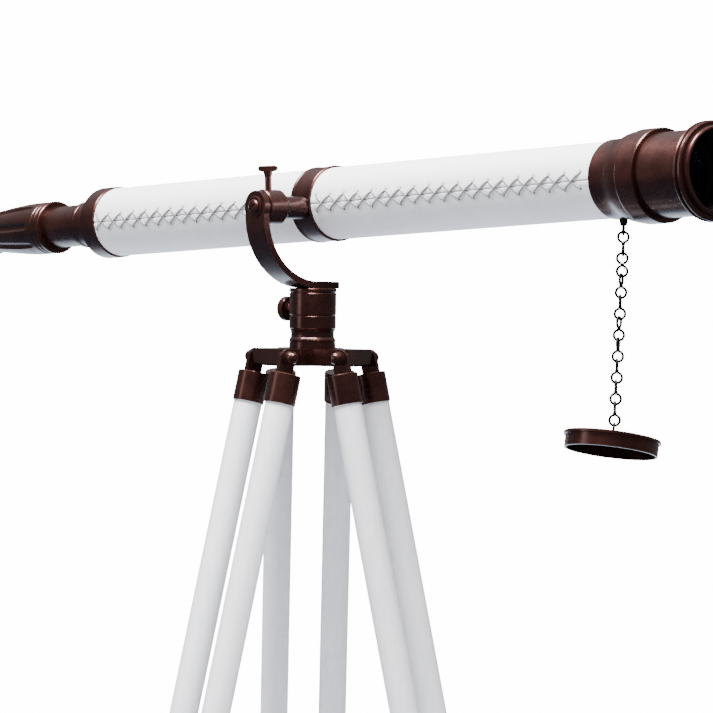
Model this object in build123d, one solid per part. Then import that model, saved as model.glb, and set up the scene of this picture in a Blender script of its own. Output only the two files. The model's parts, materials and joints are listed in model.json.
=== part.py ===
from build123d import *
import os
from math import atan, cos, degrees, radians, sin

os.makedirs("parts", exist_ok=True)

# Frame: +X towards the objective, +Z up, the pan axis is the Z axis and the floor is z = 0.

# Driving dimensions, in millimetres and degrees
FLOOR_TO_HUB_TOP = 1275.4
HUB_THICK = 15.0
HUB_REACH = 48.0
LOBE_HALF_WIDTH = 23.8
LEG_AZIMUTHS = (22.5, 142.5, 262.5)
LEG_TILT = 12.7
PIVOT_RADIUS = 42.2
BOLT_RADIUS = 3.0
POLE_RADIUS = 12.5
POLE_HALF_SPACING = 26.5
LUG_THICK = 5.0
LUG_RADIUS = 7.5
FERRULE_TOP = 14.2
FERRULE_INSET = 1.7
FERRULE_LENGTH = 26.6
FERRULE_RADIUS = 13.8
UPPER_POLE_END = 700.0
LOWER_POLE_RADIUS = 11.0
CLAMP_HEIGHT = 42.0
GUIDE_HEIGHT = 26.0
FOOT_LENGTH = 62.0

PILLAR_HEIGHT = 53.2
SLEEVE_HEIGHT = 36.0
SPINDLE_RADIUS = 9.0
NUT_RECESS_RADIUS = 15.5
NUT_RECESS_DEPTH = 10.0
TRUNNION_HEIGHT = 123.8
TUBE_RISE = 4.0
YOKE_THICK = 6.0
YOKE_WIDTH = 26.0
YOKE_BEND_RADIUS = 57.0
YOKE_BEND_START = 4.0
FOOT_REACH = 19.2
HEAD_RADIUS = 14.2
BOSS_RADIUS = 15.3
PIN_RADIUS = 7.0
SCREW_RADIUS = 3.0
TUBE_OFFSET_Y = 18.2
TUBE_ELEVATION = 3.2

LEATHER_RADIUS = 32.0
LEATHER_THICK = 1.0
TUBE_RADIUS = LEATHER_RADIUS - LEATHER_THICK
TUBE_WALL = 1.2
CLAMP_BACK = -15.4
CLAMP_FRONT = 10.8
HOUSING_START = 369.6
DRAW_RADIUS = 19.6
DRAW_WALL = 1.0
BUSH_RADIUS = 20.6
MOUTH_RADIUS = 33.8
NOSE_RADIUS = 36.8
RING_START = 475.5
FLUTE_COUNT = 8
FLUTE_RADIUS = 5.5
FLUTE_DEPTH = 1.6
FLUTE_PHASE = -3.0

LINK_WIRE_RADIUS = 0.8
LINK_LOOP_RADIUS = 4.3
LINK_HALF = 5.3
LINK_PITCH = 2 * (LINK_HALF + LINK_LOOP_RADIUS - LINK_WIRE_RADIUS) - 0.12
CHAIN_LEAN = 2.0
CHAIN_TURN = 50.0
CAP_TILT = 6.6

GAP = 0.08
GLUE = 0.05

hub_middle = FLOOR_TO_HUB_TOP - HUB_THICK / 2
recess_top = FLOOR_TO_HUB_TOP - HUB_THICK + NUT_RECESS_DEPTH
pillar_top = FLOOR_TO_HUB_TOP + PILLAR_HEIGHT
foot_top = pillar_top + YOKE_THICK
trunnion_z = FLOOR_TO_HUB_TOP + TRUNNION_HEIGHT
tube_z = trunnion_z + TUBE_RISE
leg_length = (hub_middle - FERRULE_INSET * sin(radians(LEG_TILT))) / cos(radians(LEG_TILT))


def write(name, shape):
    export_step(shape, "parts/" + name + ".step")


def turned(*points):
    """A solid of revolution about Z from (radius, height) corners."""
    outline = Polyline(*[(r, 0, z) for r, z in points], close=True)
    return revolve(make_face(outline), Axis.Z, 360)


def ring(outer, inner, bottom, top):
    return turned((inner, bottom), (outer, bottom), (outer, top), (inner, top))


def rod(radius, bottom, top):
    return Pos(0, 0, bottom) * extrude(Circle(radius), top - bottom)


def along_y(shape, start):
    """Lay a shape that stands on Z along +Y, its base at y = start."""
    return Pos(0, start, 0) * Rot(-90, 0, 0) * shape


def group(shapes):
    return Compound(children=list(shapes))


def knurled(radius, thick, teeth, depth):
    """A disc whose rim is cut with half-round notches."""
    disc = chamfer(rod(radius, 0, thick).edges().filter_by(GeomType.CIRCLE), 0.6)
    notch = Pos(radius + 0.3, 0, 0) * rod(depth, -1, thick + 1)
    return disc - [Rot(0, 0, 360 * i / teeth) * notch for i in range(teeth)]


# Tripod head: hub, pillar base, spindle, pivot bolts

def hub_casting():
    body = rod(24.0, FLOOR_TO_HUB_TOP - HUB_THICK, FLOOR_TO_HUB_TOP)
    for azimuth in LEG_AZIMUTHS:
        lobe = Pos(HUB_REACH / 2, 0, 0) * Box(HUB_REACH, 2 * LOBE_HALF_WIDTH, HUB_THICK)
        lobe = fillet(lobe.edges().filter_by(Axis.Z).group_by(Axis.X)[-1], 1.2)
        lobe = fillet(lobe.faces().sort_by(Axis.X)[-1].edges().filter_by(Axis.Y).sort_by(Axis.Z)[0], 2.5)
        body += Rot(0, 0, azimuth) * Pos(0, 0, hub_middle) * lobe
    for azimuth in LEG_AZIMUTHS:
        bore = along_y(rod(BOLT_RADIUS + GAP, 0, 80), -40)
        body -= Rot(0, 0, azimuth) * Pos(PIVOT_RADIUS, 0, hub_middle) * bore
    body -= rod(NUT_RECESS_RADIUS, FLOOR_TO_HUB_TOP - HUB_THICK - 1, recess_top)
    return body - rod(SPINDLE_RADIUS, recess_top - 1, FLOOR_TO_HUB_TOP + 1)


def pillar_base():
    z = FLOOR_TO_HUB_TOP
    inner = SPINDLE_RADIUS
    top = z + PILLAR_HEIGHT - SLEEVE_HEIGHT
    return turned((inner, z), (20.6, z), (20.6, z + 1.2), (20.2, z + 5.6), (20.5, z + 7.6), (20.0, z + 8.8),
                  (19.2, z + 10.0), (19.0, z + 12.4), (19.2, z + 14.6), (19.9, z + 16.2), (20.0, top),
                  (inner, top))


def pan_spindle():
    stub_end = recess_top - 9
    top = pillar_top - 0.2
    return turned((0, stub_end), (6.0, stub_end), (6.0, recess_top), (SPINDLE_RADIUS, recess_top),
                  (SPINDLE_RADIUS, top), (0, top))


def spindle_nut():
    """Washer and nut, sunk in the hub's underside."""
    washer = ring(15, 6.0, recess_top - 2, recess_top)
    nut = Pos(0, 0, recess_top - 9) * extrude(RegularPolygon(10, 6), 7)
    return group([washer, nut - rod(6.0, recess_top - 10, recess_top - 1)])


def pivot_bolts():
    reach = POLE_HALF_SPACING + LUG_THICK / 2 + 5
    bolt = along_y(rod(BOLT_RADIUS, -reach, reach), 0)
    return [Rot(0, 0, a) * Pos(PIVOT_RADIUS, 0, hub_middle) * bolt for a in LEG_AZIMUTHS]


def ball_nuts():
    nuts = []
    face = POLE_HALF_SPACING + LUG_THICK / 2 + 0.1
    nut = turned((BOLT_RADIUS, 0), (6.2, 0), (6.2, 1.2), (4.8, 1.7), (5.5, 3.2), (5.8, 5.0), (5.5, 6.8),
                 (4.6, 8.6), (2.9, 9.9), (0, 10.4), (0, 5.1), (BOLT_RADIUS, 5.1))
    for azimuth in LEG_AZIMUTHS:
        for side in (0, 180):
            outward = Rot(0, 0, side) * along_y(nut, face)
            nuts.append(Rot(0, 0, azimuth) * Pos(PIVOT_RADIUS, 0, hub_middle) * outward)
    return nuts


# Yoke, pan sleeve and their screws

def pillar_sleeve():
    bottom = pillar_top - SLEEVE_HEIGHT + 0.1
    inner = SPINDLE_RADIUS + GAP
    groove = pillar_top - 24.0
    outline = [(inner, bottom), (20.0, bottom), (20.6, bottom + 0.8), (20.6, groove - 0.8)]
    outline += [(20.1, groove - 0.2), (20.1, groove + 0.3), (20.7, groove + 0.9), (20.7, pillar_top - 4.6)]
    outline += [(20.2, pillar_top - 4.0), (20.2, pillar_top - 3.5), (20.7, pillar_top - 2.9)]
    outline += [(20.7, pillar_top - 0.6), (20.1, pillar_top), (inner, pillar_top)]
    threaded = Pos(0, 0, pillar_top - 18.6) * pan_lock_place(rod(3.0, -4, 30))
    return turned(*outline) - threaded


def pan_lock_place(shape):
    """Turn a shape standing on Z so that it points out of the pillar's side, away from the tube."""
    return Rot(0, 0, 185) * Pos(SPINDLE_RADIUS + 0.2, 0, 0) * Rot(0, 90, 0) * shape


def pan_lock_knob():
    outer = 28.6 - SPINDLE_RADIUS
    stem = rod(3.0 - GAP, 0, outer)
    collar = turned((0, outer - 5.0), (4.6, outer - 5.0), (5.2, outer - 1.2), (7.0, outer), (0, outer))
    knob = stem + collar + Pos(0, 0, outer) * knurled(10.8, 6.4, 28, 0.7)
    return Pos(0, 0, pillar_top - 18.6) * pan_lock_place(knob)


def yoke_arm():
    """One flat bar: a foot on the pillar, a quarter bend, and an upright ending in a round head."""
    inner_radius = YOKE_BEND_RADIUS
    outer_radius = YOKE_BEND_RADIUS + YOKE_THICK
    centre = (-YOKE_BEND_START, foot_top + inner_radius)
    upright = trunnion_z
    y_inner = centre[0] - inner_radius
    y_outer = centre[0] - outer_radius
    turn = sin(radians(45))
    inner_mid = (centre[0] - inner_radius * turn, centre[1] - inner_radius * turn)
    outer_mid = (centre[0] - outer_radius * turn, centre[1] - outer_radius * turn)
    with BuildPart() as bar:
        with BuildSketch(Plane.YZ.offset(-YOKE_WIDTH / 2)):
            with BuildLine():
                Line((FOOT_REACH, foot_top), (centre[0], foot_top))
                ThreePointArc((centre[0], foot_top), inner_mid, (y_inner, centre[1]))
                Line((y_inner, centre[1]), (y_inner, upright))
                Line((y_inner, upright), (y_outer, upright))
                Line((y_outer, upright), (y_outer, centre[1]))
                ThreePointArc((y_outer, centre[1]), outer_mid, (centre[0], pillar_top))
                Line((centre[0], pillar_top), (FOOT_REACH, pillar_top))
                Line((FOOT_REACH, pillar_top), (FOOT_REACH, foot_top))
            make_face()
        extrude(amount=YOKE_WIDTH)
    head = Pos(0, 0, trunnion_z) * along_y(rod(HEAD_RADIUS, 0, YOKE_THICK), y_outer)
    arm = bar.part + head
    arm = arm - Pos(0, 0, trunnion_z) * along_y(rod(PIN_RADIUS, -1, 8), y_outer)
    return arm


arm_outer_y = -YOKE_BEND_START - YOKE_BEND_RADIUS - YOKE_THICK
arm_inner_y = arm_outer_y + YOKE_THICK
boss_outer_y = arm_inner_y + 1.0
boss_inner_y = boss_outer_y + 19.0


def trunnion_screw():
    """The pivot screw, tight in the arm's head; the boss of the tube's ring turns on its shank."""
    length = boss_inner_y - 1.0 - arm_outer_y
    shank = Pos(0, 0, trunnion_z) * along_y(rod(PIN_RADIUS, 0, length), arm_outer_y)
    head = turned((0, 0), (9.6, 0), (9.6, 0.7), (8.9, 1.1), (6.7, 1.1), (6.7, 1.9), (6.0, 3.0), (4.2, 3.8),
                  (2.0, 4.1), (0, 4.2))
    head -= Pos(0, 0, 4.0) * Box(18, 1.3, 1.8)
    return shank + Pos(0, arm_outer_y, trunnion_z) * Rot(90, 0, 0) * Rot(0, 0, 35) * head


def friction_washer():
    disc = ring(9.0, PIN_RADIUS, 0, 0.8)
    return Pos(0, 0, trunnion_z) * along_y(disc, arm_inner_y + 0.1)


# Telescope. Pieces are turned along Z and then laid along the optical axis.

def on_tube(shape):
    """Lay a piece turned on Z along the tube, its zero at the trunnion axis."""
    return Pos(0, TUBE_OFFSET_Y, tube_z) * Rot(0, 90 - TUBE_ELEVATION, 0) * shape


def at_trunnion(shape):
    """Tilt a piece modelled upright beside the level tube."""
    return Pos(0, 0, trunnion_z) * Rot(0, -TUBE_ELEVATION, 0) * shape


def clamp_ring():
    back = CLAMP_BACK
    front = CLAMP_FRONT
    bead = turned((TUBE_RADIUS, back), (33.0, back), (33.6, back + 0.6), (33.6, back + 2.0),
                  (33.1, back + 2.6), (33.1, front - 2.6), (33.6, front - 2.0), (33.6, front - 0.6),
                  (33.0, front), (TUBE_RADIUS, front))
    return on_tube(bead)


def trunnion_boss():
    """Boss, cone and neck, cut to the ring's curve and brazed to it."""
    start = boss_outer_y
    ring_gap = TUBE_OFFSET_Y - start
    boss = turned((0, 0), (14.4, 0), (BOSS_RADIUS, 0.9), (BOSS_RADIUS, 18.2), (14.6, 19.0), (10.0, 25.0),
                  (10.0, ring_gap - 16), (0, ring_gap - 16))
    boss = along_y(boss, start)
    saddle = Pos(0, TUBE_OFFSET_Y, TUBE_RISE) * Rot(0, 90, 0) * rod(33.1, -40, 40)
    bore = along_y(rod(PIN_RADIUS + GAP, -1, 19.0), start)
    screw_hole = Pos(0, start + 8.5, 0) * rod(SCREW_RADIUS + GAP, PIN_RADIUS - 1, 20)
    return at_trunnion(boss - saddle - bore - screw_hole) - clamp_ring()


def tilt_lock_screw():
    """T-headed screw standing on the boss, pressing on the pin."""
    head_z = BOSS_RADIUS + 16.0
    stem = turned((0, PIN_RADIUS + 0.3), (SCREW_RADIUS, PIN_RADIUS + 0.3), (SCREW_RADIUS, head_z - 5),
                  (4.2, head_z - 0.6), (4.4, head_z + 0.4), (0, head_z + 0.4))
    bar = Pos(0, 0, head_z + 2.5) * Box(17.0, 5.4, 5.0)
    bar = fillet(bar.edges().filter_by(Axis.Y), 2.3)
    bar = fillet(bar.faces().sort_by(Axis.Y)[-1].edges() + bar.faces().sort_by(Axis.Y)[0].edges(), 0.7)
    return at_trunnion(Pos(0, boss_outer_y + 8.5, 0) * Rot(0, 0, 40) * (stem + bar))


def main_tube():
    return on_tube(ring(TUBE_RADIUS, TUBE_RADIUS - TUBE_WALL, -322, 402))


def leather(start, end):
    return on_tube(ring(LEATHER_RADIUS, TUBE_RADIUS, start, end))


def rear_collar():
    inner = BUSH_RADIUS
    return on_tube(turned((inner, -361), (21.2, -361), (21.7, -360.4), (21.7, -356), (21.2, -355.2),
                          (21.2, -338), (21.8, -334), (23.6, -331), (26.6, -329.4), (32.0, -328.6),
                          (33.2, -327.6), (33.2, -309.2), (32.6, -308.2), (TUBE_RADIUS, -308.2),
                          (TUBE_RADIUS, -322), (inner, -322)))


def draw_tube_bush():
    return on_tube(ring(BUSH_RADIUS, DRAW_RADIUS + GAP, -361, -318))


def objective_housing():
    """Sleeve over the tube's end, swelling in an S curve to the wide flange."""
    with BuildPart() as housing:
        with BuildSketch(Plane.XZ):
            with BuildLine():
                Polyline((31.0, 402), (TUBE_RADIUS, HOUSING_START), (33.2, HOUSING_START), (33.2, 377))
                Bezier((33.2, 377), (33.4, 392), (37.2, 390), (38.4, 406))
                Polyline((38.4, 406), (39.0, 407.5), (39.0, 425.5), (38.2, 426.5), (33.4, 426.5),
                         (33.4, 402), (31.0, 402))
            make_face()
        revolve(axis=Axis.Z)
    return on_tube(housing.part)


def objective_barrel():
    return on_tube(turned((32.0, 404), (33.4, 404), (33.4, 426.6), (35.1, 426.6), (35.1, 475.4),
                          (33.0, 475.4), (33.0, 445), (32.0, 445)))


def front_ring():
    r = 41.0
    z = RING_START
    nose = NOSE_RADIUS
    outline = [(MOUTH_RADIUS, z), (39.2, z), (r - 0.4, z + 0.9), (r, z + 1.9), (r - 0.3, z + 3.3)]
    outline += [(38.9, z + 4.0), (38.9, z + 4.9), (r - 0.3, z + 5.7), (r, z + 6.9), (r - 0.2, z + 8.3)]
    outline += [(39.6, z + 9.1), (nose, z + 9.3), (nose, z + 12.2), (nose - 0.5, z + 13.2)]
    outline += [(nose - 1.4, z + 13.8), (nose - 2.4, z + 13.9), (MOUTH_RADIUS, z + 13.1)]
    return on_tube(turned(*outline))


def lens(radius, start, thick, bulge_back, bulge_front):
    """A round lens with spherical faces; a negative bulge is a hollow face."""
    steps = 6
    end = start + thick
    front = [(radius * i / steps, end + bulge_front * (1 - (i / steps) ** 2)) for i in range(steps)]
    back = [(radius * i / steps, start - bulge_back * (1 - (i / steps) ** 2)) for i in range(steps)]
    outline = front + [(radius, end), (radius, start)] + back[::-1]
    return on_tube(turned(*outline))


def objective_cell():
    return on_tube(turned((29.0, 428), (31.95, 428), (31.95, 444), (31.2, 444), (31.2, 432),
                          (29.0, 432)))


def lens_retaining_ring():
    """Holds the lenses in their cell and lines the barrel up to the front ring."""
    return on_tube(turned((28.6, 441.3), (31.1, 441.3), (31.1, 446), (32.95, 446), (32.95, 475.4),
                          (31.4, 475.4), (31.4, 450), (28.6, 446)))


def baffles():
    stops = []
    for place, hole in ((60, 21.0), (200, 24.0), (330, 27.0)):
        stops.append(on_tube(ring(TUBE_RADIUS - TUBE_WALL, hole, place, place + 1.5)))
    return group(stops)


# Draw tube, erector and eyepiece

def draw_tube():
    return on_tube(ring(DRAW_RADIUS, DRAW_RADIUS - DRAW_WALL, -418, -196))


def draw_stop_collar():
    return on_tube(turned((DRAW_RADIUS, -206), (25.0, -206), (25.0, -198), (DRAW_RADIUS, -198)))


def erector_cell():
    outer = DRAW_RADIUS - DRAW_WALL
    return on_tube(turned((10.6, -262), (outer, -262), (outer, -198), (10.6, -198), (10.6, -203.1),
                          (9.0, -203.1), (9.0, -257.1), (10.6, -257.1)))


def eyepiece_grip():
    outline = [(DRAW_RADIUS, -408), (24.0, -408), (24.9, -409), (24.9, -412.4), (24.2, -413.2)]
    outline += [(24.2, -414.6), (24.8, -415.4), (24.8, -418.0), (24.2, -418.8), (24.2, -420.2)]
    outline += [(24.8, -421.0), (24.8, -436), (24.3, -450), (23.4, -463), (22.3, -476), (21.0, -489)]
    outline += [(19.8, -500), (19.3, -507), (19.6, -509), (21.0, -511), (21.4, -514), (21.4, -524)]
    outline += [(20.6, -529), (16.0, -529), (16.0, -470), (17.4, -470), (17.4, -418)]
    outline += [(DRAW_RADIUS, -418)]
    grip = turned(*outline)
    start = (19.8, -500.0)
    end = (24.9, -430.0)
    slope = degrees(atan((end[0] - start[0]) / (end[1] - start[1])))
    length = (end[1] - start[1]) / cos(radians(slope))
    groove = rod(FLUTE_RADIUS, 0, length) + Sphere(FLUTE_RADIUS) + Pos(0, 0, length) * Sphere(FLUTE_RADIUS)
    groove = Pos(start[0] + FLUTE_RADIUS - FLUTE_DEPTH, 0, start[1]) * Rot(0, slope, 0) * groove
    for i in range(FLUTE_COUNT):
        grip -= Rot(0, 0, -90 + FLUTE_PHASE + 360 * i / FLUTE_COUNT) * groove
    return on_tube(grip)


def eyepiece_tube():
    return on_tube(turned((14.6, -522), (15.9, -522), (15.9, -471), (14.6, -471)))


def eye_cap():
    return on_tube(turned((5.0, -530.5), (9.0, -533), (17.0, -533), (18.0, -532), (18.0, -529.1),
                          (15.9, -529.1), (15.9, -523), (14.0, -523), (14.0, -528), (5.0, -528)))


# Chain and dust cap

eyelet_t = 376.0
eyelet_drop = 33.2


def tube_point(t, drop):
    """A point in the tube's upright plane, t along the axis and drop below it."""
    tilt = radians(TUBE_ELEVATION)
    return (t * cos(tilt) + drop * sin(tilt), TUBE_OFFSET_Y, tube_z + t * sin(tilt) - drop * cos(tilt))


def chain_eyelet():
    """A stem under the flare that ends in a ring; the ring lies across the tube."""
    x, y, z = tube_point(eyelet_t, eyelet_drop)
    stem = turned((0, -5.2), (2.6, -5.2), (3.3, -2.6), (3.5, -0.4), (3.5, 1.6), (0, 1.6))
    loop = Pos(0, 0, -8.2) * Rot(0, 90, 0) * Torus(4.0, 1.1)
    eyelet = Pos(x, y, z) * Rot(0, 0, CHAIN_TURN) * (stem + loop)
    return eyelet - objective_housing()


def wire_loop(height, turn):
    """One round loop of a link, its centre at the given height, turned about the chain."""
    loop = Torus(LINK_LOOP_RADIUS, LINK_WIRE_RADIUS)
    return Pos(0, 0, height) * Rot(0, 0, turn) * Rot(90, 0, 0) * loop


def chain_link(upper_turn, lower_turn):
    """Two wire loops meeting in a bound waist; the link hangs from its upper loop."""
    waist = rod(1.4, -LINK_HALF - 1.3, -LINK_HALF + 1.3)
    return wire_loop(0, upper_turn) + wire_loop(-2 * LINK_HALF, lower_turn) + waist


LINK_TURNS = ((0, 90), (0, 0), (70, 0), (90, 0), (65, -20), (75, 0), (90, 0), (90, 0), (90, 0))
UPPER_LINKS = 5
chain_start = tube_point(eyelet_t, eyelet_drop)
first_link_z = chain_start[2] - 8.2 - 4.0 - LINK_LOOP_RADIUS + 1.1 + LINK_WIRE_RADIUS + 0.12


def on_chain(index, shape):
    """Place a shape made about the chain at the given link's upper loop."""
    lean = radians(CHAIN_LEAN)
    drop = index * LINK_PITCH
    x = chain_start[0] - drop * sin(lean) * cos(radians(CHAIN_TURN))
    y = chain_start[1] - drop * sin(lean) * sin(radians(CHAIN_TURN))
    return Pos(x, y, first_link_z - drop * cos(lean)) * Rot(0, 0, CHAIN_TURN) * shape


def chain_links(first, last):
    links = []
    for index in range(first, last):
        upper, lower = LINK_TURNS[index]
        links.append(on_chain(index, chain_link(upper, lower)))
    return group(links)


CAP_BORE_RADIUS = NOSE_RADIUS + 0.2
CAP_SKIRT_RADIUS = 38.7
CAP_RIM_RADIUS = 40.4
CAP_RIM = 3.2
CAP_HEIGHT = 13.9
CAP_LEAN = -9.6
STAPLE_LOOP_RADIUS = 3.6
STAPLE_WIRE_RADIUS = 0.9
STAPLE_HEIGHT = 6.6


def on_cap(shape):
    """Place a shape made about the cap's top centre where the cap hangs under the last link."""
    last = len(LINK_TURNS)
    staple = Pos(0, 0, LINK_LOOP_RADIUS - STAPLE_LOOP_RADIUS + STAPLE_WIRE_RADIUS - LINK_WIRE_RADIUS)
    hung = staple * Rot(CAP_LEAN, CAP_TILT, 0) * Pos(0, 0, -STAPLE_HEIGHT) * shape
    return on_chain(last, hung)


def dust_cap():
    rim = CAP_RIM_RADIUS
    skirt = CAP_SKIRT_RADIUS
    bore = CAP_BORE_RADIUS
    outline = [(0, 0), (31.4, 0), (32.2, -0.5), (37.0, -0.5), (rim - 0.8, -0.6), (rim, -1.4)]
    outline += [(rim, -CAP_RIM), (skirt, -CAP_RIM - 0.3), (skirt, -CAP_HEIGHT), (bore, -CAP_HEIGHT)]
    outline += [(bore, -1.9), (0, -1.9)]
    return on_cap(turned(*outline))


def cap_staple():
    neck = STAPLE_HEIGHT - STAPLE_LOOP_RADIUS
    stem = turned((0, 0), (3.8, 0), (3.2, 1.0), (1.7, 1.5), (1.3, neck), (0, neck))
    loop = Pos(0, 0, STAPLE_HEIGHT) * Rot(0, 90, 0) * Torus(STAPLE_LOOP_RADIUS, STAPLE_WIRE_RADIUS)
    return on_cap((stem + loop) - Pos(0, 0, -4) * Box(12, 12, 8))


# Legs. Each is made hanging from its pivot, then leaned outwards and turned to its azimuth.

def leg_place(index):
    return Rot(0, 0, LEG_AZIMUTHS[index]) * Pos(PIVOT_RADIUS, 0, hub_middle) * Rot(0, -LEG_TILT, 0)


def on_leg(index, shape):
    return leg_place(index) * shape


def on_pole(index, shape):
    """The same for what stands on the poles' own axes, just inside the pivot."""
    return leg_place(index) * Pos(-FERRULE_INSET, 0, 0) * shape


def both_poles(shape):
    return [Pos(0, side * POLE_HALF_SPACING, 0) * shape for side in (-1, 1)]


def leg_ferrules():
    bottom = -FERRULE_TOP - FERRULE_LENGTH
    top = -FERRULE_TOP
    bore = POLE_RADIUS + GLUE
    cup = turned((0, top), (FERRULE_RADIUS - 0.6, top), (FERRULE_RADIUS, top - 0.6),
                 (FERRULE_RADIUS, bottom), (bore, bottom), (bore, top - 3), (0, top - 3))
    cup = Pos(-FERRULE_INSET, 0, 0) * cup
    lug = Box(2 * LUG_RADIUS, LUG_THICK, FERRULE_TOP + 1, align=(Align.CENTER, Align.CENTER, Align.MAX))
    lug += along_y(rod(LUG_RADIUS, 0, LUG_THICK), -LUG_THICK / 2)
    lug -= along_y(rod(BOLT_RADIUS + GAP, 0, LUG_THICK + 2), -LUG_THICK / 2 - 1)
    return group(both_poles(cup + lug))


def upper_poles():
    pole = Rot(0, 0, 90) * rod(POLE_RADIUS, -UPPER_POLE_END, -FERRULE_TOP - 3.1)
    return group(both_poles(pole))


def lower_clamp():
    """A casting with two cups for the upper poles and a sleeve between them for the lower pole."""
    top = -UPPER_POLE_END + 30
    bottom = top - CLAMP_HEIGHT
    body = Box(27, 2 * POLE_HALF_SPACING, CLAMP_HEIGHT, align=(Align.CENTER, Align.CENTER, Align.MAX))
    body = Pos(0, 0, top) * body
    for cup in both_poles(rod(16.0, bottom, top)):
        body += cup
    for socket in both_poles(rod(POLE_RADIUS + GLUE, -UPPER_POLE_END, top + 1)):
        body -= socket
    body -= rod(LOWER_POLE_RADIUS + GAP, bottom - 1, top + 1)
    body -= Pos(0, 0, (top + bottom) / 2) * Rot(0, 90, 0) * rod(3.5, 0, 30)
    return body


def lower_clamp_knob():
    height = -UPPER_POLE_END + 30 - CLAMP_HEIGHT / 2
    start = LOWER_POLE_RADIUS + 0.3
    collar = turned((0, 6), (5.5, 6), (7.0, 12), (0, 12))
    knob = rod(3.42, 0, 14) + collar + Pos(0, 0, 12) * knurled(11.0, 7.0, 24, 0.8)
    return Pos(start, 0, height) * Rot(0, 90, 0) * knob


def pole_guide():
    """Slides on the two upper poles and holds the top of the lower pole."""
    bottom = -UPPER_POLE_END + 30.5
    top = bottom + GUIDE_HEIGHT
    body = Pos(0, 0, (bottom + top) / 2) * Box(20, 2 * POLE_HALF_SPACING, GUIDE_HEIGHT)
    for boss in both_poles(rod(15.5, bottom, top)):
        body += boss
    for bore in both_poles(rod(POLE_RADIUS + GAP, bottom - 1, top + 1)):
        body -= bore
    return body - rod(LOWER_POLE_RADIUS, bottom - 1, top - 3)


def lower_pole():
    top = -UPPER_POLE_END + 30.5 + GUIDE_HEIGHT - 3
    return rod(LOWER_POLE_RADIUS, -leg_length + FOOT_LENGTH - 20, top)


def tip_foot(index):
    """Bronze ferrule with a blunt tip, cut flat where it meets the floor."""
    bottom = -leg_length
    top = bottom + FOOT_LENGTH
    tip = turned((0, bottom - 6), (7.5, bottom - 6), (8.5, bottom + 10), (10.6, bottom + 16),
                 (12.6, bottom + 20), (12.6, top - 3), (13.2, top - 2.4), (13.2, top - 0.6), (12.8, top),
                 (LOWER_POLE_RADIUS, top), (LOWER_POLE_RADIUS, top - 20), (0, top - 20))
    floor = Pos(0, 0, -50) * Box(2000, 2000, 100)
    return on_pole(index, tip) - floor


write("hub_casting", hub_casting())
write("pillar_base", pillar_base())
write("pan_spindle", pan_spindle())
write("spindle_nut_and_washer", spindle_nut())
write("leg_pivot_bolts", group(pivot_bolts() + ball_nuts()))

write("pillar_sleeve", pillar_sleeve())
write("yoke_arm", yoke_arm())
write("trunnion_screw", trunnion_screw())
write("friction_washer", friction_washer())
write("pan_lock_knob", pan_lock_knob())

write("clamp_ring", clamp_ring())
write("trunnion_boss", trunnion_boss())
write("tilt_lock_screw", tilt_lock_screw())
write("main_tube", main_tube())
write("leather_wrap_rear", leather(-308, CLAMP_BACK - 0.1))
write("leather_wrap_front", leather(CLAMP_FRONT + 0.1, HOUSING_START - 0.1))
write("rear_collar", rear_collar())
write("draw_tube_bush", draw_tube_bush())
write("objective_housing", objective_housing())
write("objective_barrel", objective_barrel())
write("front_ring", front_ring())
write("objective_cell", objective_cell())
write("objective_flint_lens", lens(31.1, 432.2, 3.4, 0, -1.6))
write("objective_crown_lens", lens(31.1, 435.8, 5.0, 1.4, 1.6))
write("lens_retaining_ring", lens_retaining_ring())
write("tube_baffles", baffles())
write("chain_eyelet", chain_eyelet())

write("draw_tube", draw_tube())
write("draw_stop_collar", draw_stop_collar())
write("erector_cell", erector_cell())
write("erector_lenses", group([lens(10.5, -203.0, 2.4, 0, 0.8), lens(10.5, -259.6, 2.4, 0.8, 0)]))
write("eyepiece_grip", eyepiece_grip())
write("eyepiece_tube", eyepiece_tube())
write("eyepiece_lenses", group([lens(14.5, -477.0, 2.6, 1.2, 0), lens(13.9, -519.6, 2.4, 0, 1.0)]))
write("eye_cap", eye_cap())

write("chain_upper_links", chain_links(0, UPPER_LINKS))
write("chain_lower_links", chain_links(UPPER_LINKS, len(LINK_TURNS)))
write("dust_cap", dust_cap())
write("cap_staple", cap_staple())

for leg in range(len(LEG_AZIMUTHS)):
    tag = "leg_" + str(leg + 1) + "_"
    write(tag + "ferrules", on_leg(leg, leg_ferrules()))
    write(tag + "upper_poles", on_pole(leg, upper_poles()))
    write(tag + "lower_clamp", on_pole(leg, lower_clamp()))
    write(tag + "clamp_knob", on_pole(leg, lower_clamp_knob()))
    write(tag + "pole_guide", on_pole(leg, pole_guide()))
    write(tag + "lower_pole", on_pole(leg, lower_pole()))
    write(tag + "foot", tip_foot(leg))
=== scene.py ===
import json
import math
import random

import bmesh
import bpy
from mathutils import Euler, Matrix, Vector


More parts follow.
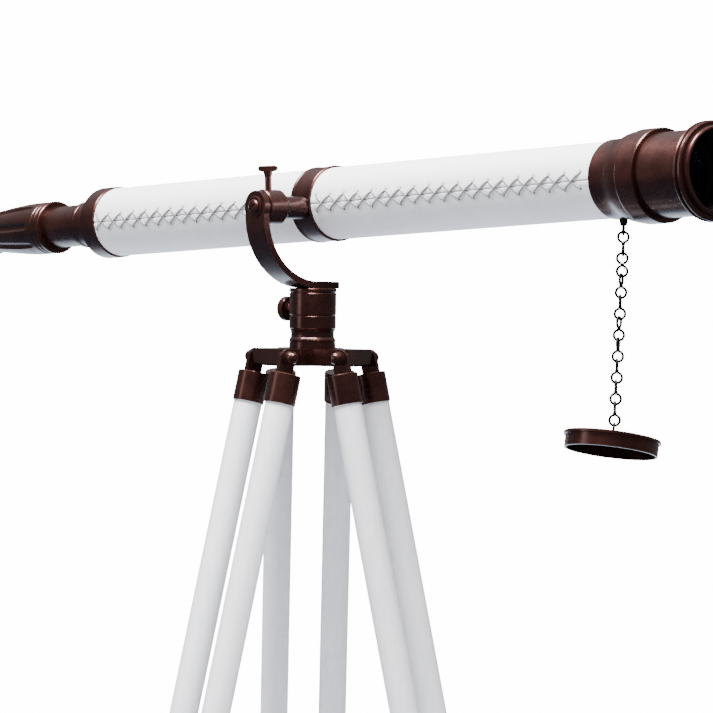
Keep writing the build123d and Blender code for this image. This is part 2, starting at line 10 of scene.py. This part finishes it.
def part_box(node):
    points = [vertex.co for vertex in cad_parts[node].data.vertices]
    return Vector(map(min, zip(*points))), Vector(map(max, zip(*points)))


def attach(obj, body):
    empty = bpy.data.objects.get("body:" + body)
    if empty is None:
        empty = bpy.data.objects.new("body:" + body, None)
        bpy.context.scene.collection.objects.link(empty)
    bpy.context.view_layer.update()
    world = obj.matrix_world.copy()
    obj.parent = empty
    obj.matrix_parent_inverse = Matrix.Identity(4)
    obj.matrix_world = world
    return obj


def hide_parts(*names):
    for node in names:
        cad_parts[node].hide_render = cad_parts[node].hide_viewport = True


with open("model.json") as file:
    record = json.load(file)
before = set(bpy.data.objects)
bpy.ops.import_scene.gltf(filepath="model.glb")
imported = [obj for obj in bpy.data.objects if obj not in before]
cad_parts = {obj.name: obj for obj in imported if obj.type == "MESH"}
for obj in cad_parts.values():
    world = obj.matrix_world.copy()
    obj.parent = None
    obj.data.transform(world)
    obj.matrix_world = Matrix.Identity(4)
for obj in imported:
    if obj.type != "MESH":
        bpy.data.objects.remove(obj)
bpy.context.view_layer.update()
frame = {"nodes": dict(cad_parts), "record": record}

random.seed(7)

MM = 0.001
nodes = frame["nodes"]
record = frame["record"]
mounts = {mount["name"]: mount for mount in record["mounts"]}

# The optical axis: t runs along it from the yoke's pivot, towards the objective.
AXIS = Vector(mounts["objective_mouth"]["axis"]).normalized()
SIDE = Vector((0, -1, 0))
UP = AXIS.cross(SIDE).normalized()
RING_LOW, RING_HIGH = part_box("clamp_ring")
RING_CENTRE = (Vector(RING_LOW) + Vector(RING_HIGH)) / 2
RING_TO_PIVOT = 2.3 * MM
PIVOT = RING_CENTRE + AXIS * RING_TO_PIVOT


def along_tube(t, angle, radius):
    """A point beside the optical axis; angle 0 is the side that the yoke is on, 90 degrees is up."""
    outward = SIDE * math.cos(angle) + UP * math.sin(angle)
    return PIVOT + AXIS * t + outward * radius


def off_axis(place):
    """From the nearest point of the optical axis to a place."""
    return place - PIVOT - AXIS * (place - PIVOT).dot(AXIS)


# Camera: the direction of view, and where the yoke's pivot stands in the frame. Degrees, metres, lens in mm.

CAMERA_AZIMUTH = 50.0
CAMERA_PITCH = -1.4
CAMERA_ROLL = 0.8
CAMERA_DISTANCE = 3.894
CAMERA_LENS = 222.2
AIM_ALONG = 1.1 * MM
AIM_RIGHT = -0.0226
AIM_ABOVE = 0.135


def make_camera():
    turn = Euler((math.radians(90 + CAMERA_PITCH), 0, math.radians(CAMERA_AZIMUTH))).to_matrix()
    turn = turn @ Matrix.Rotation(math.radians(CAMERA_ROLL), 3, "Z")
    right, up, back = turn.col[0], turn.col[1], turn.col[2]
    data = bpy.data.cameras.new("photo_camera")
    data.lens = CAMERA_LENS
    data.sensor_width = 36.0
    data.clip_end = 60.0
    camera = bpy.data.objects.new("photo_camera", data)
    bpy.context.collection.objects.link(camera)
    place = PIVOT + AXIS * AIM_ALONG + back * CAMERA_DISTANCE - right * AIM_RIGHT - up * AIM_ABOVE
    camera.matrix_world = Matrix.Translation(place) @ turn.to_4x4()
    bpy.context.scene.camera = camera
    return right, Vector((-back.x, -back.y, 0)).normalized()


VIEW_RIGHT, VIEW_FORWARD = make_camera()


# Studio: pale floor, an overhead soft box, weaker fills and a dim room

BACKDROP_STRENGTH = 15.0
FLOOR_HALF = 2.6
WHITE = (1, 1, 1)


def area_light(name, place, target, size, power, colour=WHITE, mirrored=True):
    data = bpy.data.lights.new(name, "AREA")
    data.shape = "RECTANGLE"
    data.size, data.size_y = size
    data.energy = power
    data.color = colour
    light = bpy.data.objects.new(name, data)
    bpy.context.collection.objects.link(light)
    light.visible_glossy = mirrored
    light.visible_camera = False
    light.location = place
    light.rotation_euler = (target - place).to_track_quat("-Z", "Y").to_euler()
    return light


def make_world():
    """White behind the object, dim and slightly blue in what the metal reflects."""
    world = bpy.data.worlds.new("studio")
    bpy.context.scene.world = world
    world.use_nodes = True
    tree = world.node_tree
    tree.nodes.clear()
    output = tree.nodes.new("ShaderNodeOutputWorld")
    mix = tree.nodes.new("ShaderNodeMixShader")
    path = tree.nodes.new("ShaderNodeLightPath")
    seen = tree.nodes.new("ShaderNodeBackground")
    seen.inputs["Color"].default_value = (1, 1, 1, 1)
    seen.inputs["Strength"].default_value = BACKDROP_STRENGTH
    room = tree.nodes.new("ShaderNodeBackground")
    room.inputs["Strength"].default_value = 1.0
    coords = tree.nodes.new("ShaderNodeTexCoord")
    split = tree.nodes.new("ShaderNodeSeparateXYZ")
    ramp = tree.nodes.new("ShaderNodeValToRGB")
    stretch = tree.nodes.new("ShaderNodeMapRange")
    stretch.inputs["From Min"].default_value = -1.0
    stretch.inputs["From Max"].default_value = 1.0
    shades = ((0.0, (0.08, 0.10, 0.14)), (0.24, (0.17, 0.21, 0.30)), (0.36, (0.11, 0.13, 0.19)),
              (0.46, (0.22, 0.20, 0.20)), (0.62, (0.17, 0.15, 0.15)), (0.77, (0.55, 0.50, 0.51)),
              (0.86, (0.8, 0.77, 0.78)), (1.0, (1.0, 0.99, 0.98)))
    while len(ramp.color_ramp.elements) < len(shades):
        ramp.color_ramp.elements.new(0.5)
    for element, (place, colour) in zip(ramp.color_ramp.elements, shades):
        element.position = place
        element.color = (*colour, 1)
    link = tree.links.new
    link(coords.outputs["Generated"], split.inputs[0])
    link(split.outputs["Z"], stretch.inputs["Value"])
    link(stretch.outputs[0], ramp.inputs["Fac"])
    link(ramp.outputs["Color"], room.inputs["Color"])
    link(path.outputs["Is Camera Ray"], mix.inputs["Fac"])
    link(room.outputs[0], mix.inputs[1])
    link(seen.outputs[0], mix.inputs[2])
    link(mix.outputs[0], output.inputs["Surface"])


def make_studio():
    mesh = bpy.data.meshes.new("floor")
    half = FLOOR_HALF
    corners = [(-half, -half, 0), (half, -half, 0), (half, half, 0), (-half, half, 0)]
    mesh.from_pydata(corners, [], [(0, 1, 2, 3)])
    floor = bpy.data.objects.new("floor", mesh)
    bpy.context.collection.objects.link(floor)
    floor.data.materials.append(pale_floor())
    floor.visible_glossy = False
    tube = RING_CENTRE
    legs = RING_CENTRE - Vector((0, 0, 0.6))
    near = -VIEW_FORWARD
    up = Vector((0, 0, 1))
    area_light("soft_box", tube + near * 0.55 - VIEW_RIGHT * 0.2 + up * 1.9, tube, (2.6, 0.9), 380)
    area_light("left_strip", tube + near * 0.9 - VIEW_RIGHT * 2.4 + up * 0.5, tube, (0.7, 1.8), 9)
    area_light("front_fill", tube + near * 3.4 + up * 0.5, tube, (2.4, 1.6), 4, (0.93, 0.95, 1.0), False)
    area_light("back_low", tube - near * 2.2 - up * 1.1, tube, (3.2, 1.3), 30, (0.72, 0.86, 1.0))
    leg_fill = legs + near * 2.6 - VIEW_RIGHT * 0.4
    area_light("leg_fill", leg_fill, legs, (2.4, 1.2), 18, (0.92, 0.95, 1.0), False)
    make_world()


# Materials. Every one reads the row frame's own coordinates, in metres.

def new_material(name):
    material = bpy.data.materials.new(name)
    material.use_nodes = True
    tree = material.node_tree
    shader = tree.nodes["Principled BSDF"]
    coords = tree.nodes.new("ShaderNodeTexCoord")
    return material, tree, shader, coords.outputs["Object"]


def noise(tree, coords, scale, detail=4.0, rough=0.55, stretch=None):
    node = tree.nodes.new("ShaderNodeTexNoise")
    node.inputs["Scale"].default_value = scale
    node.inputs["Detail"].default_value = detail
    node.inputs["Roughness"].default_value = rough
    if stretch:
        mapping = tree.nodes.new("ShaderNodeMapping")
        mapping.inputs["Scale"].default_value = stretch
        tree.links.new(coords, mapping.inputs["Vector"])
        coords = mapping.outputs[0]
    tree.links.new(coords, node.inputs["Vector"])
    return node.outputs["Fac"]


def ramp(tree, value, *stops):
    node = tree.nodes.new("ShaderNodeValToRGB")
    while len(node.color_ramp.elements) < len(stops):
        node.color_ramp.elements.new(0.5)
    for element, (place, colour) in zip(node.color_ramp.elements, stops):
        element.position = place
        element.color = (*colour, 1)
    tree.links.new(value, node.inputs["Fac"])
    return node.outputs["Color"]


def spread(tree, value, low, high, from_low=0.3, from_high=0.7):
    node = tree.nodes.new("ShaderNodeMapRange")
    node.inputs["From Min"].default_value = from_low
    node.inputs["From Max"].default_value = from_high
    node.inputs["To Min"].default_value = low
    node.inputs["To Max"].default_value = high
    tree.links.new(value, node.inputs["Value"])
    return node.outputs[0]


def mix_colour(tree, factor, first, second, blend="MIX"):
    node = tree.nodes.new("ShaderNodeMix")
    node.data_type = "RGBA"
    node.blend_type = blend
    for socket, value in ((node.inputs["Factor"], factor), (node.inputs[6], first), (node.inputs[7], second)):
        if hasattr(value, "links"):
            tree.links.new(value, socket)
        else:
            socket.default_value = value
    return node.outputs[2]


def maths(tree, operation, first, second=None):
    node = tree.nodes.new("ShaderNodeMath")
    node.operation = operation
    for socket, value in zip(node.inputs, (first, second)):
        if value is None:
            continue
        if hasattr(value, "links"):
            tree.links.new(value, socket)
        else:
            socket.default_value = value
    return node.outputs[0]


def bump(tree, shader, height, depth, strength=1.0):
    node = tree.nodes.new("ShaderNodeBump")
    node.inputs["Strength"].default_value = strength
    node.inputs["Distance"].default_value = depth
    tree.links.new(height, node.inputs["Height"])
    tree.links.new(node.outputs[0], shader.inputs["Normal"])


def edge_wear(tree, radius):
    """0 on open faces, towards 1 on sharp corners."""
    soft = tree.nodes.new("ShaderNodeBevel")
    soft.samples = 6
    soft.inputs["Radius"].default_value = radius
    geometry = tree.nodes.new("ShaderNodeNewGeometry")
    dot = tree.nodes.new("ShaderNodeVectorMath")
    dot.operation = "DOT_PRODUCT"
    tree.links.new(soft.outputs[0], dot.inputs[0])
    tree.links.new(geometry.outputs["Normal"], dot.inputs[1])
    return spread(tree, dot.outputs["Value"], 1.0, 0.0, 0.80, 0.995)


def bronze(name, brushed=None):
    """Antique bronze: dark red-brown lacquered oxide, faint tarnish, copper showing on worn corners."""
    material, tree, shader, coords = new_material(name)
    cloud = noise(tree, coords, 24, 5, 0.55)
    fine = noise(tree, coords, 420, 4, 0.6)
    tone = ramp(tree, cloud, (0.30, (0.042, 0.0130, 0.0110)), (0.52, (0.066, 0.0215, 0.0178)),
                (0.72, (0.100, 0.0360, 0.0292)))
    spots = ramp(tree, fine, (0.34, (0.70, 0.66, 0.66)), (0.55, (1.0, 1.0, 1.0)))
    tone = mix_colour(tree, 0.40, tone, spots, "MULTIPLY")
    wear = edge_wear(tree, 0.0009)
    patchy = spread(tree, noise(tree, coords, 150, 3), 0.0, 0.16)
    wear = maths(tree, "MULTIPLY", wear, patchy)
    tone = mix_colour(tree, wear, tone, (0.26, 0.105, 0.065, 1))
    tree.links.new(tone, shader.inputs["Base Color"])
    shader.inputs["Metallic"].default_value = 0.90
    smudges = spread(tree, noise(tree, coords, 90, 5, 0.65), 0.24, 0.36)
    tree.links.new(smudges, shader.inputs["Roughness"])
    shader.inputs["Coat Weight"].default_value = 0.38
    shader.inputs["Coat Roughness"].default_value = 0.16
    height = noise(tree, coords, 900, 3)
    if brushed:
        lines = noise(tree, coords, 420, 3, 0.6, brushed)
        height = maths(tree, "ADD", maths(tree, "MULTIPLY", lines, 2.2), height)
    bump(tree, shader, height, 0.00005, 0.35)
    return material


def black_wire():
    material, tree, shader, coords = new_material("blackened_wire")
    cloud = noise(tree, coords, 260, 4)
    tone = ramp(tree, cloud, (0.35, (0.006, 0.005, 0.007)), (0.70, (0.026, 0.020, 0.022)))
    wear = maths(tree, "MULTIPLY", edge_wear(tree, 0.0006), 0.5)
    tree.links.new(mix_colour(tree, wear, tone, (0.10, 0.055, 0.045, 1)), shader.inputs["Base Color"])
    shader.inputs["Metallic"].default_value = 0.85
    tree.links.new(spread(tree, noise(tree, coords, 700, 3), 0.28, 0.5), shader.inputs["Roughness"])
    bump(tree, shader, noise(tree, coords, 1400, 3), 0.00005, 0.5)
    return material


def white_leather():
    material, tree, shader, coords = new_material("white_leather")
    tone = ramp(tree, noise(tree, coords, 22, 5), (0.30, (0.84, 0.84, 0.86)), (0.70, (0.90, 0.90, 0.91)))
    grain = tree.nodes.new("ShaderNodeTexVoronoi")
    grain.feature = "DISTANCE_TO_EDGE"
    grain.inputs["Scale"].default_value = 780
    tree.links.new(coords, grain.inputs["Vector"])
    creases = spread(tree, grain.outputs["Distance"], 0.0, 1.0, 0.0, 0.22)
    # The grain's crease lines are coloured darker: painted shade in the creases.
    painted_crease_shade = mix_colour(tree, creases, (0.70, 0.70, 0.72, 1), (1, 1, 1, 1))
    tree.links.new(mix_colour(tree, 0.30, tone, painted_crease_shade, "MULTIPLY"), shader.inputs["Base Color"])
    tree.links.new(spread(tree, noise(tree, coords, 160, 4), 0.36, 0.50), shader.inputs["Roughness"])
    shader.inputs["Coat Weight"].default_value = 0.15
    shader.inputs["Coat Roughness"].default_value = 0.35
    swell = noise(tree, coords, 120, 4)
    height = maths(tree, "ADD", maths(tree, "MULTIPLY", creases, 0.35), swell)
    bump(tree, shader, height, 0.00028, 0.55)
    return material


def white_paint():
    """Satin enamel over turned wood, with faint grain and brush lines along the pole."""
    material, tree, shader, coords = new_material("white_painted_wood")
    tone = ramp(tree, noise(tree, coords, 14, 4), (0.30, (0.83, 0.84, 0.87)), (0.70, (0.89, 0.89, 0.91)))
    grain = noise(tree, coords, 260, 5, 0.6, (1.0, 1.0, 0.035))
    lines = ramp(tree, grain, (0.38, (0.90, 0.90, 0.91)), (0.60, (1.0, 1.0, 1.0)))
    tree.links.new(mix_colour(tree, 0.5, tone, lines, "MULTIPLY"), shader.inputs["Base Color"])
    tree.links.new(spread(tree, noise(tree, coords, 70, 4), 0.24, 0.38), shader.inputs["Roughness"])
    shader.inputs["Coat Weight"].default_value = 0.3
    shader.inputs["Coat Roughness"].default_value = 0.2
    bump(tree, shader, grain, 0.00016, 0.45)
    return material


def black_paint():
    material, tree, shader, coords = new_material("matt_black_paint")
    cloud = noise(tree, coords, 180, 4)
    tone = ramp(tree, cloud, (0.35, (0.003, 0.003, 0.0035)), (0.70, (0.008, 0.0075, 0.007)))
    tree.links.new(tone, shader.inputs["Base Color"])
    tree.links.new(spread(tree, noise(tree, coords, 500, 3), 0.55, 0.75), shader.inputs["Roughness"])
    shader.inputs["Specular IOR Level"].default_value = 0.15
    bump(tree, shader, noise(tree, coords, 1600, 3), 0.00004, 0.6)
    return material


def lens_glass():
    material, tree, shader, coords = new_material("coated_glass")
    tint = ramp(tree, noise(tree, coords, 30, 2), (0.35, (0.50, 0.56, 0.62)), (0.65, (0.60, 0.64, 0.68)))
    tree.links.new(tint, shader.inputs["Base Color"])
    shader.inputs["Transmission Weight"].default_value = 1.0
    shader.inputs["IOR"].default_value = 1.2
    shader.inputs["Specular IOR Level"].default_value = 0.02
    tree.links.new(spread(tree, noise(tree, coords, 220, 4), 0.0, 0.03), shader.inputs["Roughness"])
    return material


def fibre():
    material, tree, shader, coords = new_material("oiled_fibre")
    tone = ramp(tree, noise(tree, coords, 600, 5), (0.35, (0.03, 0.018, 0.012)), (0.70, (0.10, 0.06, 0.04)))
    tree.links.new(tone, shader.inputs["Base Color"])
    shader.inputs["Roughness"].default_value = 0.8
    bump(tree, shader, noise(tree, coords, 1100, 4), 0.0001, 0.7)
    return material


def painted_shade_thread():
    material, tree, shader, coords = new_material("painted_shade_thread")
    twist = noise(tree, coords, 1500, 3, 0.5, (1.0, 0.4, 0.4))
    # The cream thread is coloured mid to dark grey over its twist: painted shade along and between the
    # strands.
    tone = ramp(tree, twist, (0.35, (0.13, 0.13, 0.14)), (0.62, (0.40, 0.395, 0.39)))
    tree.links.new(tone, shader.inputs["Base Color"])
    shader.inputs["Roughness"].default_value = 0.6
    bump(tree, shader, twist, 0.0002, 0.8)
    return material


def hole_shade():
    # Near-black: painted shade for the insides of the stitch holes and the seam's gap.
    material, tree, shader, coords = new_material("painted_stitch_hole_shade")
    cloud = noise(tree, coords, 900, 3)
    tone = ramp(tree, cloud, (0.35, (0.020, 0.018, 0.018)), (0.70, (0.060, 0.056, 0.056)))
    tree.links.new(tone, shader.inputs["Base Color"])
    shader.inputs["Roughness"].default_value = 0.85
    return material


def pale_floor():
    material, tree, shader, coords = new_material("pale_floor")
    tone = ramp(tree, noise(tree, coords, 2.0, 3), (0.3, (0.50, 0.52, 0.56)), (0.7, (0.54, 0.56, 0.60)))
    tree.links.new(tone, shader.inputs["Base Color"])
    shader.inputs["Roughness"].default_value = 0.7
    return material


MATERIALS = {
    "antique_bronze": bronze("antique_bronze"),
    "dark_bronze": black_wire(),
    "white_leather": white_leather(),
    "white_painted_wood": white_paint(),
    "optical_glass": lens_glass(),
    "black_paint": black_paint(),
    "fibre": fibre(),
}
# Turning marks run around the piece, so they change fast only along its axis
TURNED = bronze("turned_bronze", (0.05, 0.05, 3.0))
TUBE_TURNED = bronze("tube_turned_bronze", (3.0, 0.05, 0.05))
UPRIGHT_PIECES = ("pillar_sleeve", "pillar_base", "dust_cap")
TUBE_PIECES = ("rear_collar", "clamp_ring", "objective_housing", "objective_barrel", "front_ring",
               "draw_tube")


def set_material(obj, material):
    obj.data.materials.clear()
    obj.data.materials.append(material)


def paint_nodes():
    for part in record["subparts"]:
        set_material(nodes[part["node"]], MATERIALS[part["material_slot"]])
    for name in UPRIGHT_PIECES:
        set_material(nodes[name], TURNED)
    for name in TUBE_PIECES:
        set_material(nodes[name], TUBE_TURNED)
    set_material(nodes["main_tube"], MATERIALS["black_paint"])


# Leather wraps: sleeves with a butted seam on the yoke's side, laced with crossed stitches

LEATHER_RADIUS = 32.0 * MM
STITCH_PITCH = 18.9 * MM
HALF_BAND = 6.6 * MM
THREAD_RADIUS = 0.85 * MM
THREAD_DIVE = 1.1 * MM
OVER_LIFT = 0.75 * MM
UNDER_LIFT = 0.18 * MM
HOLE_RADIUS = 1.15 * MM
HOLE_SINK = 0.75 * MM
SEAM_SINK = 0.52 * MM
SEAM_LINE_RADIUS = 0.22 * MM
SEAM_ANGLE = math.radians(2.0)
SEAM_WIDTH = 0.7 * MM
GROOVE_DEPTH = 0.45 * MM
SKIN_GAP = 0.12 * MM
WRAP_STEP = 0.85 * MM
FINE_BAND = 16 * MM
FINE_STEPS = 44
COARSE_STEPS = 84


def wrap_ends(node):
    """Where a wrap starts and ends along the optical axis."""
    spots = [(nodes[node].matrix_world @ vertex.co - PIVOT).dot(AXIS) for vertex in nodes[node].data.vertices]
    return min(spots), max(spots)


def stitch_places(start, end, first_gap, last_gap):
    count = int((end - start - first_gap - last_gap) / STITCH_PITCH)
    return [start + first_gap + STITCH_PITCH * i for i in range(count + 1)]


def bell(*distances):
    """1 in the middle, falling smoothly to 0; each distance is in widths of the bell."""
    return math.exp(-sum(distance ** 2 for distance in distances))


def leather_radius(t, off_seam, holes, start, end):
    """The sleeve's radius: a seam groove, dimples where the thread bites and swells between them."""
    radius = LEATHER_RADIUS - SKIN_GAP
    radius -= GROOVE_DEPTH * bell(off_seam / SEAM_WIDTH)
    across = abs(off_seam)
    for hole in holes:
        reach = abs(t - hole)
        if reach < 12 * MM:
            bite = bell(reach / (1.6 * MM), (across - HALF_BAND) / (1.6 * MM))
            pull = bell(reach / (4.2 * MM), (across - HALF_BAND) / (3.4 * MM))
            radius -= 0.70 * MM * bite + 0.22 * MM * pull
    radius += 0.16 * MM * bell((across - HALF_BAND * 0.5) / (2.8 * MM))
    edge = min(t - start, end - t)
    radius -= GROOVE_DEPTH * bell(edge / (0.9 * MM))
    return radius


def make_wrap(name, node, first_gap, last_gap):
    start, end = wrap_ends(node)
    holes = stitch_places(start, end, first_gap, last_gap)
    steps = int((end - start) / WRAP_STEP)
    total = 2 * math.pi * LEATHER_RADIUS
    offsets = [FINE_BAND * i / FINE_STEPS for i in range(-FINE_STEPS, FINE_STEPS + 1)]
    offsets += [FINE_BAND + (total - 2 * FINE_BAND) * i / COARSE_STEPS for i in range(1, COARSE_STEPS)]
    vertices = []
    for row in range(steps + 1):
        t = start + (end - start) * row / steps
        for offset in offsets:
            off_seam = offset if offset < total / 2 else offset - total
            angle = SEAM_ANGLE + offset / LEATHER_RADIUS
            vertices.append(along_tube(t, angle, leather_radius(t, off_seam, holes, start, end)))
    count = len(offsets)
    faces = []
    for row in range(steps):
        for i in range(count):
            j = (i + 1) % count
            faces.append((row * count + i, row * count + j, (row + 1) * count + j, (row + 1) * count + i))
    mesh = bpy.data.meshes.new(name)
    mesh.from_pydata(vertices, [], faces)
    mesh.update()
    for face in mesh.polygons:
        face.use_smooth = True
    wrap = bpy.data.objects.new(name, mesh)
    bpy.context.collection.objects.link(wrap)
    solid = wrap.modifiers.new("thickness", "SOLIDIFY")
    solid.thickness = 0.8 * MM
    solid.offset = 1 if face_normals_inward(wrap) else -1
    set_material(wrap, MATERIALS["white_leather"])
    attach(wrap, "telescope")
    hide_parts(node)
    lace(name, start, end, holes)
    return wrap


def face_normals_inward(obj):
    face = obj.data.polygons[0]
    return face.normal.dot(off_axis(face.center)) < 0


def seam_point(t, off_seam, lift):
    return along_tube(t, SEAM_ANGLE + off_seam / LEATHER_RADIUS, LEATHER_RADIUS + lift)


def tube_curve(name, routes, radius, material, resolution=3):
    data = bpy.data.curves.new(name, "CURVE")
    data.dimensions = "3D"
    data.bevel_depth = radius
    data.bevel_resolution = resolution
    data.use_fill_caps = True
    for route in routes:
        spline = data.splines.new("NURBS")
        spline.points.add(len(route) - 1)
        for point, place in zip(spline.points, route):
            point.co = (*place, 1)
        spline.order_u = 3
        spline.use_endpoint_u = True
    curve = bpy.data.objects.new(name, data)
    bpy.context.collection.objects.link(curve)
    curve.data.materials.append(material)
    return curve


def thread_route(t_from, t_to, side, lift):
    """One thread from a hole on one side of the seam to the next hole on the other side."""
    route = []
    steps = 8
    for i in range(steps + 1):
        part = i / steps
        t = t_from + (t_to - t_from) * part
        off = side * HALF_BAND * (1 - 2 * part)
        ends = max(0.0, 1 - min(part, 1 - part) * 7)
        route.append(seam_point(t, off, lift - THREAD_DIVE * ends ** 2))
    return route


def lace(name, start, end, holes):
    over, under = [], []
    for first, second in zip(holes, holes[1:]):
        wobble = random.uniform(-0.5 * MM, 0.5 * MM)
        over.append(thread_route(first, second + wobble * 0.3, 1, OVER_LIFT))
        under.append(thread_route(first + wobble * 0.4, second, -1, UNDER_LIFT))
    threads = tube_curve(name + "_stitches", over + under, THREAD_RADIUS, thread_with_painted_shade)
    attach(threads, "telescope")
    # A dark line sunk along the seam: painted shade in the gap between the butted edges.
    seam = [[seam_point(start + (end - start) * i / 60, 0, -SEAM_SINK) for i in range(61)]]
    line = tube_curve(name + "_seam_line", seam, SEAM_LINE_RADIUS, painted_hole_and_seam_shade, 1)
    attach(line, "telescope")
    # Dark sunk pits at every hole: painted shade inside the stitch holes.
    pits = bpy.data.meshes.new(name + "_holes")
    shape = bmesh.new()
    for hole in holes:
        for side in (-1, 1):
            place = seam_point(hole, side * HALF_BAND, -HOLE_SINK)
            turn = off_axis(place).to_track_quat("Z", "Y").to_matrix().to_4x4()
            squashed = Matrix.Translation(place) @ turn @ Matrix.Diagonal((1.0, 1.35, 0.45, 1.0))
            bmesh.ops.create_uvsphere(shape, u_segments=14, v_segments=8, radius=HOLE_RADIUS, matrix=squashed)
    shape.to_mesh(pits)
    shape.free()
    holes_object = bpy.data.objects.new(name + "_holes", pits)
    bpy.context.collection.objects.link(holes_object)
    set_material(holes_object, painted_hole_and_seam_shade)
    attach(holes_object, "telescope")


# Chain: the links' wire with its blackening and wax on it, a little thicker than bare

COATING = 0.28 * MM


def coated_wire(name, node, body, thick):
    """A copy of a chain node whose surface stands a little further out than the bare wire's."""
    source = nodes[node]
    mesh = source.data.copy()
    mesh.name = name
    turn = source.matrix_world
    scale = turn.to_scale()[0]
    normals = [vertex.normal.copy() for vertex in mesh.vertices]
    for vertex, normal in zip(mesh.vertices, normals):
        vertex.co = vertex.co + normal * (thick / scale)
    mesh.transform(turn)
    wire = bpy.data.objects.new(name, mesh)
    bpy.context.collection.objects.link(wire)
    for face in mesh.polygons:
        face.use_smooth = True
    set_material(wire, MATERIALS["dark_bronze"])
    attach(wire, body)
    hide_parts(node)


thread_with_painted_shade = painted_shade_thread()
painted_hole_and_seam_shade = hole_shade()
make_studio()
paint_nodes()
make_wrap("front_leather", "leather_wrap_front", 7 * MM, 2 * MM)
make_wrap("rear_leather", "leather_wrap_rear", 3 * MM, 5 * MM)

coated_wire("upper_chain", "chain_upper_links", "chain_upper", COATING)
coated_wire("lower_chain", "chain_lower_links", "chain_lower", COATING)
